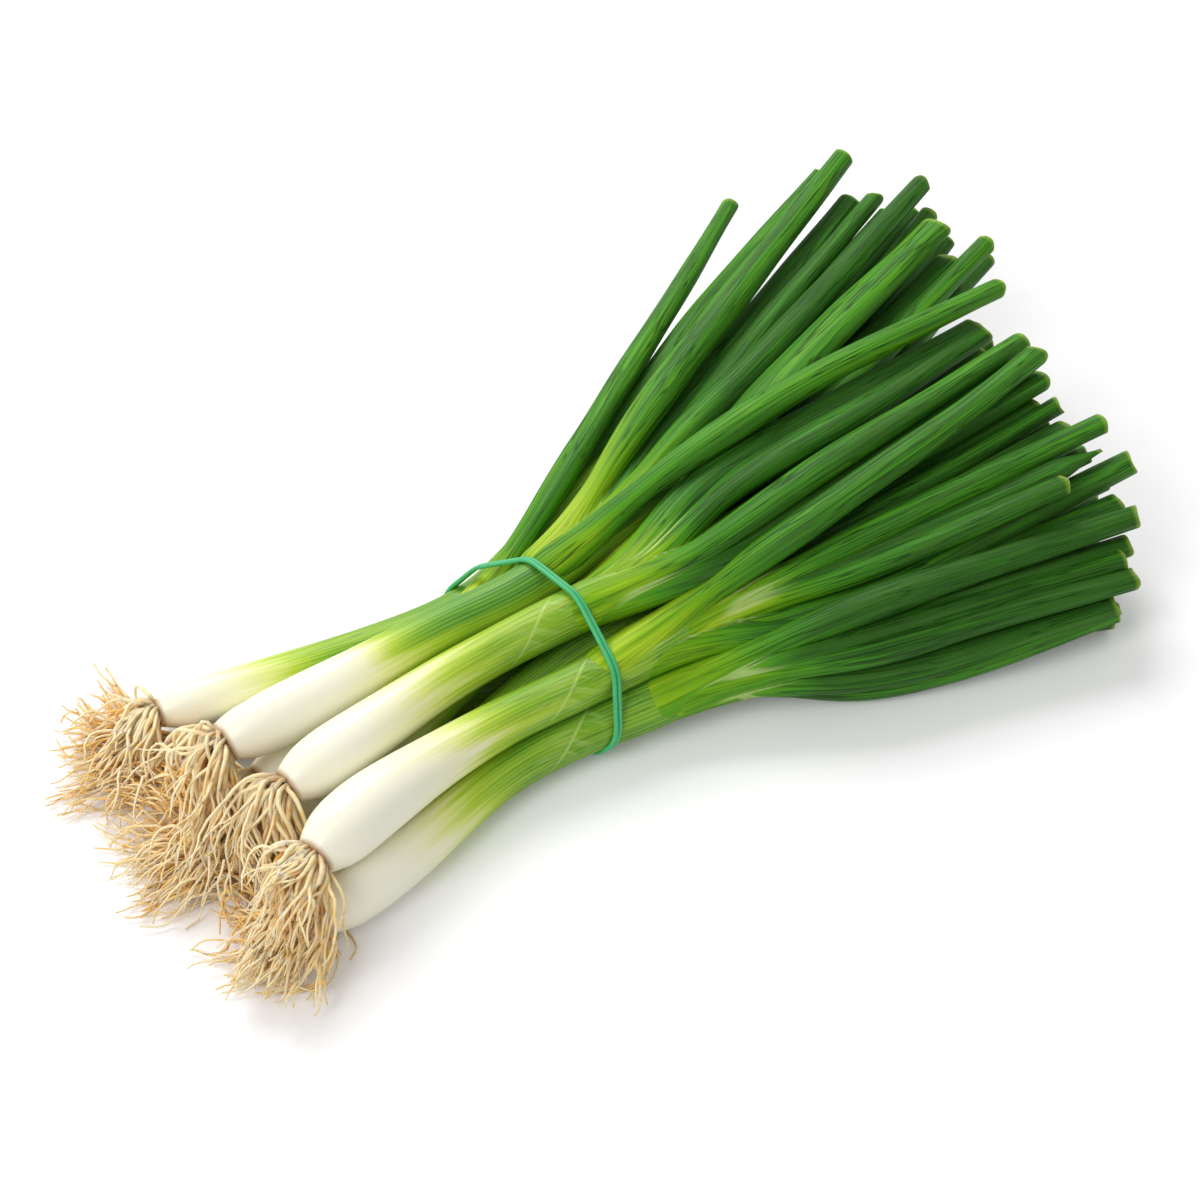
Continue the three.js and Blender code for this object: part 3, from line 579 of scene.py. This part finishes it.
def leaf_stations(n, k, leaf, rank, look):
    """The stations of one leaf: its sheath, its blade, the cut rim and the inside of its mouth."""
    stem = stems[n]
    length = leaf["at"][-1]
    outside = np.concatenate([np.arange(-SHEATH_BACK, PARTING, LEAF_STATION),
                              np.arange(PARTING, length - 0.5 * MM, BLADE_STATION), [length - RIM_SLIVER]])
    inside = length - np.array([RIM_SLIVER, 2 * RIM_SLIVER, 0.1 * MOUTH, 0.4 * MOUTH, 0.8 * MOUTH, MOUTH])
    places = np.concatenate([outside, [length, length], inside])
    blade = points_on(leaf, places)
    # The place on the stem that is as far along X as this place on the leaf.
    stem_places = np.linspace(0, stem["at"][-1] + 80 * MM, 400)
    stem_x = points_on(stem, stem_places)[:, 0]
    beside = np.interp(blade[:, 0], stem_x, stem_places)
    sheath = points_on(stem, beside)
    parted = ramp((places + 0.45 * SHEATH_BACK) / PARTING)
    middle = sheath + (blade - sheath) * parted[:, None]
    # The way from shaft to blade is smoothed, but for the first stretch, which stays in the shaft.
    from_start = places + SHEATH_BACK
    eased = 0.5 * ramp((look["bend"] * MM - places) / (20 * MM)) * ramp(from_start / (16 * MM))
    eased = eased[1:-1, None]
    for _ in range(int(BEND_PASSES * look["bend"] ** 2)):
        middle[1:-1] += eased * ((middle[:-2] + middle[2:]) / 2 - middle[1:-1])
    sheath_radius = shaft_radius(n, beside) - NEST * (rank + 1)
    full = leaf["radii"].max()
    blade_radius = np.maximum(radius_on(leaf, places), 0.7 * full) + LEAF_FILL
    pressed = 1 + 0.28 * ramp((LOW - blade[:, 2]) / (6 * MM))
    blade_radius *= look["wide"] * pressed * (1 + 0.03 * np.sin(places / (9 * MM) + 7 * k + n))
    blade_radius *= 1 - TAPER * ramp((places - length + TAPER_OVER) / TAPER_OVER)
    if look["torn"]:
        blade_radius *= 1 - 0.85 * ramp((places - length + look["torn"]) / (look["torn"] + 1 * MM))
    radius = sheath_radius + (blade_radius - sheath_radius) * parted
    radius *= ramp(from_start / SHEATH_POINT) ** 0.5
    hollow = np.zeros(len(places))
    hollow[len(outside) + 1:] = LEAF_WALL
    radius -= hollow
    radius[[0, -1]] = 0.0
    along, across, over = section_frames(middle[:len(outside)], math.radians(look["roll"]))
    pick = np.minimum(np.arange(len(places)), len(outside) - 1)  # the mouth keeps the rim's frame
    flat = 1 + (look["flat"] - 1) * parted
    widened = flat ** -0.25
    slant = along[pick] * (look["slant"] * ramp((places - length + 6 * MM) / (6 * MM)))[:, None]
    # Where a sheath comes out of the shaft it has the shaft's colour, and its own some way on.
    own = ramp(from_start / (24 * MM))
    first_age = SHAFT_AGE + (look["start"] - SHAFT_AGE) * own
    return {
        "middle": middle,
        "across": (across[pick] * widened[:, None] + slant) * radius[:, None],
        "over": over[pick] * (radius * flat * widened)[:, None],
        "distance": places + n + 0.3 * k,
        "age": first_age + (2 - first_age) * ramp((places - 4 * MM) / (look["youth"] * MM)),
        "cut": ramp((places - length + 0.8 * MM) / (0.8 * MM)) * (hollow == 0) + (hollow > 0),
        "tone": look["tone"] * own,
        "crease": look["crease"] * parted,
        "crease_at": np.full(len(places), math.radians(look["crease_at"])),
        "parted": parted,
        "radius": radius,
        "rim": len(outside),
    }


def notch_end(piece, stations, offset):
    """Makes the cut end of a blade uneven, as a knife leaves it, inside and out alike."""
    corners = corners_of(piece)
    middle = stations["middle"]
    turn = read(piece, "turn")
    distance = read(piece, "distance")
    near_end = ramp((distance - stations["distance"].max() + 4 * MM) / (4 * MM))
    wave = 0.45 * np.sin(2 * turn + 9 * offset) + 0.35 * np.sin(3 * turn + 17 * offset) - 0.8
    ahead = middle[stations["rim"]] - middle[stations["rim"] - 3]
    corners += (near_end * wave * 0.7 * MM)[:, None] * ahead / np.linalg.norm(ahead)
    piece.data.vertices.foreach_set("co", corners.ravel())
    piece.data.update()


# The leaf's grey-green haze is partly wax bloom and partly painted sheen.
leaf_skin = onion_skin("waxy onion leaf", roughness=0.42, shine=0.14, ribs=0.03, bloom_and_sheen=0.16)
leaves = {(n, k): strand_of(f"onion_{n}_leaf_{k}", inner_rings=2) for n in ONIONS
          for k in range(1, LEAVES_OF[n] + 1)}
made = {n: {} for n in ONIONS}
for (n, k), leaf in leaves.items():
    look = {
        "flat": random.uniform(0.78, 0.95), "roll": random.uniform(0, 60),
        "crease": random.uniform(0.0, 0.12), "crease_at": random.uniform(60, 150),
        "youth": random.uniform(25, 50), "start": SHAFT_AGE, "tone": random.uniform(-0.3, 0.08),
        "slant": random.uniform(-0.25, 0.25), "wide": 1.0, "torn": 0.0, "bend": USUAL_BEND,
    }
    look.update(LEAF_LOOKS.get((n, k), {}))
    made[n][k] = leaf_stations(n, k, leaf, k - 1, look)
for (n, k), (other, lower, torn) in UNDER_LEAVES.items():
    look = {"flat": 0.75, "roll": 0, "crease": 0.1, "crease_at": 100, "youth": 35, "start": SHAFT_AGE,
            "tone": 0.05, "slant": 0.1, "wide": 1.0, "torn": torn * MM, "bend": USUAL_BEND}
    under = strand_under(leaves[n, k], leaves[other], lower * MM, 1.05 if torn else 0.97)
    made[n][k + 0.5] = leaf_stations(n, k + 0.5, under, LEAVES_OF[n], look)

for n, bundle in made.items():
    for k, stations in bundle.items():
        node = f"onion_{n}_leaf_{int(k)}"
        name = f"{node}_blade" if k == int(k) else f"{node}_under_leaf"
        piece = grow_skin(name, "leaf", node, stations, LEAF_SIDES, leaf_skin)
        corners = corners_of(piece)
        meets = above_tube(corners, *shafts[n])[0]
        for other, around in bundle.items():
            if other != k:
                apart = above_tube(corners, around["middle"], around["radius"])[0]
                meets = np.where(np.abs(apart) < np.abs(meets), apart, meets)
        parted = stations["parted"][above_tube(corners, stations["middle"], stations["radius"])[1]]
        mark(piece, "apart", meets - MARGIN_SHIFT)
        mark(piece, "opening", ramp((parted - 0.15) / 0.2) * ramp((0.85 - parted) / 0.4))
        mark(piece, "edge", 0.6 * read(piece, "cut"))
        notch_end(piece, stations, n + 0.3 * k)

# ---- The roots ----
# Dry, straw-coloured fibres that grow in a ring from the plate under each bulb. They bend down to the
# surface, tangle and fork, and thin out to a point.
ROOTS_EACH = 100
ROOT_SIDES = 4
ROOT_STEP = 2.2 * MM
ROOT_RADIUS = 0.78 * MM
ROOT_TIP = 0.22 * MM
ROOT_KINK = 1.8 * MM
KINK_SPACING = 4.5 * MM
GOLDEN_ANGLE = 2.39996  # it spreads the roots evenly over the plate
# The longest root of each onion in mm. Those low in the bunch have kept longer roots.
LONGEST = {1: 31, 2: 30, 3: 60, 4: 42, 5: 55, 6: 44, 7: 58, 8: 54, 9: 34}
# How the roots of a tuft are pushed along X, Y and Z by what lies round them.
TUFT_LEAN = {9: (0.0, -0.06, -0.03), 8: (-0.03, -0.06, 0.0), 7: (-0.05, -0.02, 0.0), 5: (-0.04, -0.01, 0.0),
             3: (0.0, -0.06, 0.0), 2: (-0.02, 0.0, 0.0), 1: (-0.04, 0.02, 0.0)}
ROOT_LIMIT = -0.183  # the place along X past which a root turns forward
ROOT_RISE = 1.5 * MM  # how far above its start a root turns down
ROOT_LYING = 2.0 * MM  # the height under which a root turns along the surface
ROOT_FLOOR = 0.7 * MM  # the least height of its middle


def fibre_tree():
    """Sweeps a kinked fibre along every line, with its own thickness at each point, and keeps it
    above the surface that the bunch lies on."""
    tree, given = new_growth("root fibres", {
        "Lines": "Geometry", "Sides": "Int", "Kink": "Float", "Kink spacing": "Float", "Fibre": "Material"})
    thick, seed = (add_node(tree, "GeometryNodeInputNamedAttribute", {"Name": name}, data_type="FLOAT")
                   for name in ("thick", "seed"))
    rails = add_node(tree, "GeometryNodeMeshToCurve", {"Mesh": given["Lines"]})
    often = add_node(tree, "ShaderNodeMath", {0: 1.0, 1: given["Kink spacing"]}, operation="DIVIDE")
    noise = add_node(tree, "ShaderNodeTexNoise", {"W": seed, "Scale": often, "Detail": 1.0},
                     noise_dimensions="4D")
    centred = add_node(tree, "ShaderNodeVectorMath", {0: noise.outputs["Color"], 1: (0.5, 0.5, 0.5)},
                       operation="SUBTRACT")
    kinks = add_node(tree, "ShaderNodeVectorMath", {"Vector": centred, "Scale": given["Kink"]},
                     operation="SCALE")
    kinked = add_node(tree, "GeometryNodeSetPosition", {"Geometry": rails, "Offset": kinks})
    place = add_node(tree, "GeometryNodeInputPosition")
    split = add_node(tree, "ShaderNodeSeparateXYZ", {"Vector": place})
    height = add_node(tree, "ShaderNodeMath", {0: split.outputs["Z"], 1: thick}, operation="MAXIMUM")
    lifted = add_node(tree, "ShaderNodeCombineXYZ",
                      {"X": split.outputs["X"], "Y": split.outputs["Y"], "Z": height})
    laid = add_node(tree, "GeometryNodeSetPosition", {"Geometry": kinked, "Position": lifted})
    circle = add_node(tree, "GeometryNodeCurvePrimitiveCircle", {"Resolution": given["Sides"], "Radius": 1.0})
    swept = add_node(tree, "GeometryNodeCurveToMesh",
                     {"Curve": laid, "Profile Curve": circle, "Scale": thick, "Fill Caps": True})
    return end_growth(tree, swept, given["Fibre"])


def root_fibre():
    """Dry root, straw-coloured and matt, browner where it leaves the plate and at its tip."""
    material, tree = new_material("dry root fibre")
    seed, reach = (add_node(tree, "ShaderNodeAttribute", attribute_name=name).outputs["Fac"]
                   for name in ("seed", "reach"))
    place = add_node(tree, "ShaderNodeTexCoord").outputs["Object"]
    mottle = add_node(tree, "ShaderNodeTexNoise", {"Vector": place, "Scale": 1 / (2.5 * MM), "Detail": 3.0})
    own = add_node(tree, "ShaderNodeMath", {0: seed}, operation="FRACT")
    mixed = add_node(tree, "ShaderNodeMath", {0: own, 1: 0.55}, operation="MULTIPLY")
    mixed = add_node(tree, "ShaderNodeMath", {0: mottle, 1: mixed}, operation="ADD")
    colours = add_node(tree, "ShaderNodeValToRGB", {"Fac": mixed})
    set_stops(colours, [(0.3, "#eaa550"), (0.6, "#ffcd85"), (0.95, "#ffe9bf")])
    browned = add_node(tree, "ShaderNodeMapRange", {"Value": reach, "From Max": 0.16, "To Min": 0.75,
                                                    "To Max": 0.0})
    tipped = add_node(tree, "ShaderNodeMapRange", {"Value": reach, "From Min": 0.88, "To Max": 0.22})
    brown = add_node(tree, "ShaderNodeMath", {0: browned, 1: tipped}, operation="ADD")
    colour = add_node(tree, "ShaderNodeMix", {"Factor": brown, "A": colours, "B": linear("#8a5c2a")},
                      data_type="RGBA")
    shader = add_node(tree, "ShaderNodeBsdfPrincipled",
                      {"Base Color": colour, "Roughness": 0.6, "IOR": 1.45, "Subsurface Weight": 0.5,
                       "Subsurface Radius": (1.0, 0.7, 0.35), "Subsurface Scale": 2 * MM})
    add_node(tree, "ShaderNodeOutputMaterial", {"Surface": shader})
    return material


def clear_of_stems(point, gap):
    """Moves a point out of any bulb that it has grown into."""
    for line, radii in stem_lines:
        away = point - line
        distance = np.linalg.norm(away, axis=1)
        i = int(np.argmin(distance - radii))
        if distance[i] < radii[i] + gap:
            point = line[i] + away[i] / distance[i] * (radii[i] + gap)
    return point


def grow_root(start, heading, steps, pull, phase, weight, back):
    """The points of one root. It bends down, and drifts with its neighbours and by itself."""
    points = [start]
    for i in range(steps):
        here = points[-1]
        drift = np.sin(here[[1, 2, 0]] / (7 * MM) + [0, 2, 4])
        drift += 0.7 * np.sin(here[[2, 0, 1]] / (3.1 * MM) + phase)
        own = np.sin(i * np.array([0.61, 0.79, 0.5]) + phase * 2.3)
        heading = heading + 0.22 * drift + 0.23 * own + 1.3 * (pull + [0, 0, -weight])
        if here[0] < ROOT_LIMIT:
            heading[0] = max(heading[0], 0.2)
        if here[2] > start[2] + ROOT_RISE:
            heading[2] = min(heading[2], -0.15)
        if here[2] < ROOT_LYING:
            heading[2] = max(heading[2], 0.1 * math.sin(i + phase[0]))
        forward = heading @ back
        if forward < 0.15:
            heading = heading + (0.15 - forward) * back
        heading = heading / np.linalg.norm(heading)
        there = clear_of_stems(here + heading * ROOT_STEP, ROOT_RADIUS)
        there[2] = max(there[2], ROOT_FLOOR)
        points.append(there)
    return points


def add_line(lines, points, radius, tip, seed, first_reach=0.0):
    """Adds the points of one root to a tuft, with its thickness and how far along it each lies."""
    base = len(lines["points"])
    shares = np.linspace(0, 1, len(points))
    lines["points"].extend(points)
    lines["edges"].extend((base + i, base + i + 1) for i in range(len(points) - 1))
    lines["thick"].extend(radius + (tip - radius) * shares ** 1.3)
    lines["seed"].extend([seed] * len(points))
    lines["reach"].extend(first_reach + (1 - first_reach) * shares)


stem_lines = []
for stem in stems.values():
    places = np.linspace(0, 60 * MM, 13)
    stem_lines.append((points_on(stem, places), radius_on(stem, places)))
fibre_growth = fibre_tree()
fibre = root_fibre()

for n, stem in stems.items():
    tuft = strand_of(f"onion_{n}_roots", first=max)
    foot, ahead = points_on(stem, [0.0, 2 * MM])
    back = (foot - ahead) / np.linalg.norm(foot - ahead)
    side = np.cross(back, [0, 0, 1])
    side /= np.linalg.norm(side)
    rise = np.cross(side, back)
    pull = tuft["middles"][-1] - tuft["middles"][0]
    pull = 0.06 * pull / np.linalg.norm(pull) + np.array(TUFT_LEAN.get(n, (0, 0, 0)))
    plate_radius = radius_on(stem, 0)[0]
    weight = 0.07 + 0.006 * foot[2] / MM  # the roots of a high bulb hang more steeply
    lines = {key: [] for key in ("points", "edges", "thick", "seed", "reach")}
    for i in range(ROOTS_EACH):
        turn = i * GOLDEN_ANGLE + random.uniform(-0.2, 0.2)
        out = math.sqrt((i + 0.5) / ROOTS_EACH)
        radial = side * math.cos(turn) + rise * math.sin(turn)
        start = foot + radial * (0.86 * plate_radius * out) + back * (PLATE_DEPTH * (0.75 - 0.6 * out))
        splay = 0.25 + 0.95 * out ** 2
        heading = back * math.cos(splay) + radial * math.sin(splay)
        steps = int(random.uniform(0.6, 1.0) * LONGEST[n] * MM / ROOT_STEP)
        phase = random.uniform(0, 6.28, 3)
        points = grow_root(start, heading, steps, pull, phase, weight, back)
        radius = ROOT_RADIUS * random.uniform(0.75, 1.12)
        seed = n * 10 + i * 0.618
        add_line(lines, points, radius, ROOT_TIP, seed)
        if random.uniform() < 0.5:  # about half of the roots fork
            at = int(steps * random.uniform(0.35, 0.75))
            aside = points[at] - points[at - 1]
            aside = aside / np.linalg.norm(aside) + random.uniform(-0.8, 0.8, 3)
            twig_steps = int(steps * random.uniform(0.2, 0.4)) + 2
            twig = grow_root(points[at], aside, twig_steps, pull, phase + 2, weight, back)
            add_line(lines, twig, 0.62 * radius, 0.7 * ROOT_TIP, seed, 0.4)
    grow(f"onion_{n}_root_fibres", "roots", f"onion_{n}_roots", fibre_growth, lines.pop("points"),
         lines.pop("edges"), lines, Sides=ROOT_SIDES, Kink=ROOT_KINK, Kink_spacing=KINK_SPACING, Fibre=fibre)

# ---- The rubber band ----
# One green rubber band, wound twice round the bunch, so that two turns lie side by side with a groove
# between them. It is stretched, so it runs straight from one shaft to the next.
TURN_WIDTH = 1.44 * MM
TURN_THICKNESS = 1.32 * MM
BAND_SIDES = 12
BAND_STATIONS = 240
BAND_SINK = 0.45 * MM  # how far it presses in past the gap that the solids keep
OFF_MIDDLE = 1.2 * MM  # corners of the solid farther than this from its middle plane are on its sides


def band_rubber():
    """Natural rubber, dyed green and cut from a tube: smooth, with a soft sheen."""
    material, tree = new_material("dyed natural rubber")
    grain = add_node(tree, "ShaderNodeAttribute", attribute_name="grain").outputs["Vector"]
    noise = add_node(tree, "ShaderNodeTexNoise", {"Vector": grain, "Scale": 1 / (3 * MM), "Detail": 3.0})
    colours = add_node(tree, "ShaderNodeMix",
                       {"Factor": noise, "A": linear("#31a661"), "B": linear("#56c987")}, data_type="RGBA")
    bump = add_node(tree, "ShaderNodeBump", {"Height": noise, "Strength": 0.2, "Distance": 0.1 * MM})
    shader = add_node(tree, "ShaderNodeBsdfPrincipled",
                      {"Base Color": colours, "Roughness": 0.42, "IOR": 1.52, "Normal": bump})
    add_node(tree, "ShaderNodeOutputMaterial", {"Surface": shader})
    return material


# The solid's corners on its two sides, in order round its own plane, give the loop that it runs in.
corners = np.unique(np.round([v.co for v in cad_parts["rubber_band"].data.vertices], 6), axis=0)
band_middle = corners.mean(0)
wide, high, through = np.linalg.svd(corners - band_middle)[2]
side_points = corners[np.abs((corners - band_middle) @ through) > OFF_MIDDLE] - band_middle
loop = np.stack([side_points @ wide, side_points @ high], 1)
loop = loop[np.argsort(np.arctan2(loop[:, 1], loop[:, 0]))]
loop = (loop[0::2] + loop[1::2]) / 2
steps = np.linalg.norm(np.diff(np.vstack([loop, loop[:1]]), axis=0), axis=1)
around = np.concatenate([[0], np.cumsum(steps)])
distance = np.linspace(0, around[-1], BAND_STATIONS + 1)
loop = np.stack([np.interp(distance, around, np.append(loop[:, i], loop[0, i])) for i in (0, 1)], 1)
for _ in range(3):
    loop[:-1] = (np.roll(loop[:-1], 1, 0) + 2 * loop[:-1] + np.roll(loop[:-1], -1, 0)) / 4
    loop[-1] = loop[0]
tangent = np.roll(loop[:-1], -1, 0) - np.roll(loop[:-1], 1, 0)
tangent = np.vstack([tangent, tangent[:1]])
tangent /= np.linalg.norm(tangent, axis=1)[:, None]
outward = np.stack([tangent[:, 1], -tangent[:, 0]], 1)
rubber = band_rubber()
angle = distance / around[-1] * 2 * math.pi
for turn, side in enumerate((-1, 1)):
    wander = 0.16 * MM * np.sin(angle * (2 + turn) + turn)
    inset = BAND_SINK + 0.1 * MM * np.sin(angle * 3 + 2 * turn)
    flat = loop - outward * inset[:, None]
    middle = band_middle + flat[:, :1] * wide + flat[:, 1:] * high
    stations = {
        "middle": middle + through * (side * 0.49 * TURN_WIDTH + wander)[:, None],
        "across": np.tile(through * TURN_WIDTH / 2, (len(loop), 1)),
        "over": (outward[:, :1] * wide + outward[:, 1:] * high) * TURN_THICKNESS / 2,
        "distance": distance,
    }
    grow_skin(f"rubber_band_turn_{turn + 1}", "band", "rubber_band", stations, BAND_SIDES, rubber)

# ---- The floor, the light and the camera ----
# A white studio sweep with soft light from the upper left, seen from above the root end.
FLOOR_SIZE = 6.0


def studio_white():
    """Seamless white paper. The camera sees it lifted to white where nothing shades it."""
    material, tree = new_material("white paper sweep")
    paper = add_node(tree, "ShaderNodeBsdfDiffuse", {"Color": linear("#f4f4f4")})
    lift = add_node(tree, "ShaderNodeEmission", {"Color": (1, 1, 1, 1), "Strength": 0.1})
    path = add_node(tree, "ShaderNodeLightPath")
    lifted = add_node(tree, "ShaderNodeAddShader", {0: paper, 1: lift})
    shown = add_node(tree, "ShaderNodeMixShader", {0: path.outputs["Is Camera Ray"], 1: paper, 2: lifted})
    add_node(tree, "ShaderNodeOutputMaterial", {"Surface": shown})
    return material


floor_mesh = bpy.data.meshes.new("floor")
half = FLOOR_SIZE / 2
floor_mesh.from_pydata([(-half, -half, 0), (half, -half, 0), (half, half, 0), (-half, half, 0)], [],
                       [(0, 1, 2, 3)])
floor = bpy.data.objects.new("floor", floor_mesh)
floor.data.materials.append(studio_white())
bpy.context.scene.collection.objects.link(floor)

world = bpy.data.worlds.new("studio")
bpy.context.scene.world = world
world.use_nodes = True
world.node_tree.nodes["Background"].inputs["Color"].default_value = (1, 1, 1, 1)
world.node_tree.nodes["Background"].inputs["Strength"].default_value = 0.5

AIM = Vector((-23.3, -20.9, 32.9)) * MM
CAMERA_AZIMUTH = math.radians(-38)
CAMERA_ELEVATION = math.radians(45)
CAMERA_DISTANCE = 0.8


def direction(azimuth, elevation):
    flat = math.cos(elevation)
    return Vector((math.sin(azimuth) * flat, -math.cos(azimuth) * flat, math.sin(elevation)))


def add_lamp(name, azimuth, elevation, distance, size, power):
    lamp = bpy.data.lights.new(name, "AREA")
    lamp.shape = "DISK"
    lamp.size = size
    lamp.energy = power
    holder = bpy.data.objects.new(name, lamp)
    towards = direction(math.radians(azimuth), math.radians(elevation))
    holder.location = AIM + towards * distance
    holder.rotation_euler = towards.to_track_quat("Z", "Y").to_euler()
    bpy.context.scene.collection.objects.link(holder)


add_lamp("key", -200, 46, 2.4, 1.3, 36.0)
add_lamp("fill", -84, 42, 2.2, 1.3, 19.0)

camera = bpy.data.objects.new("camera", bpy.data.cameras.new("camera"))
camera.data.lens = 85
camera.data.sensor_width = 36
towards = direction(CAMERA_AZIMUTH, CAMERA_ELEVATION)
camera.location = AIM + towards * CAMERA_DISTANCE
camera.rotation_euler = towards.to_track_quat("Z", "Y").to_euler()
bpy.context.scene.collection.objects.link(camera)
bpy.context.scene.camera = camera
bpy.context.scene.view_settings.view_transform = "Standard"
